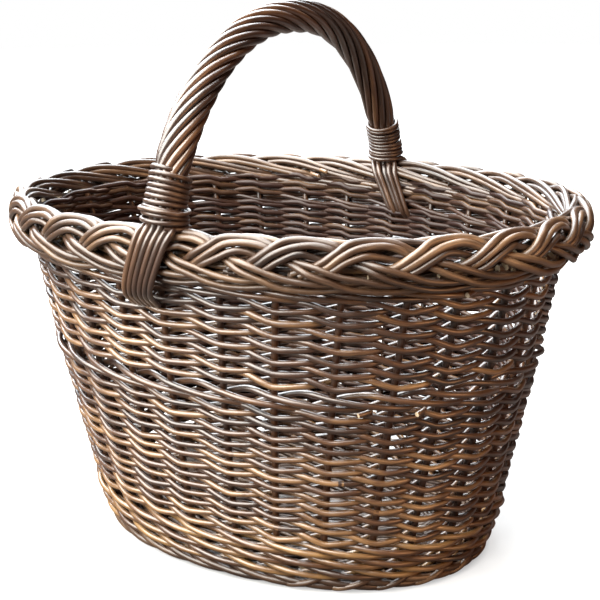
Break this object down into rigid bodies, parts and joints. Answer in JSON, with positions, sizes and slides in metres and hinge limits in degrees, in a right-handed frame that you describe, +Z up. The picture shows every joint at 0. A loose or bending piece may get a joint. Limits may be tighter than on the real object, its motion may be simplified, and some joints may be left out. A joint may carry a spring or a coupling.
{
  "type": "wicker basket",
  "caption": "Oval wicker basket with a plaited border and a rope-wound cross handle, woven from brown willow rods round upright stakes.",
  "frame": {"origin": "middle of the base, on the surface that the basket stands on", "axes": "+X along the basket's longer side, +Y across it in the plane of the handle, +Z up"},
  "size_m": [0.4778, 0.3926, 0.44],
  "materials": {
    "stake": "satin",
    "weaver": "satin",
    "wale": "satin",
    "border": "gloss",
    "handle": "gloss",
    "binding": "satin",
    "base": "satin"
  },
  "bodies": {
    "root": {"stake_01": "stake", "stake_02": "stake", "stake_03": "stake", "stake_04": "stake", "stake_05": "stake", "stake_06": "stake", "stake_07": "stake", "stake_08": "stake", "stake_09": "stake", "stake_10": "stake", "stake_11": "stake", "stake_12": "stake", "stake_13": "stake", "stake_14": "stake", "stake_15": "stake", "stake_16": "stake", "stake_17": "stake", "stake_18": "stake", "stake_19": "stake", "stake_20": "stake", "stake_21": "stake", "stake_22": "stake", "stake_23": "stake", "stake_24": "stake", "stake_25": "stake", "stake_26": "stake", "stake_27": "stake", "stake_28": "stake", "foot_border": "border", "base_long_stick_1": "base", "base_long_stick_2": "base", "base_long_stick_3": "base", "base_short_stick_1": "base", "base_short_stick_2": "base", "base_short_stick_3": "base", "base_short_stick_4": "base", "base_short_stick_5": "base", "base_short_stick_6": "base", "base_weave": "base", "upsett_wale": "wale", "lower_siding": "weaver", "middle_wale": "wale", "upper_siding": "weaver", "top_wale": "wale", "plait_strand_1": "border", "plait_strand_2": "border", "plait_strand_3": "border", "handle_bow": "handle", "handle_rod_1": "handle", "handle_rod_2": "handle", "handle_rod_3": "handle", "handle_rod_4": "handle", "handle_rod_5": "handle", "handle_rod_6": "handle", "handle_rod_7": "handle", "handle_rod_8": "handle", "handle_binding_front": "binding", "handle_binding_back": "binding"}
  },
  "joints": []
}
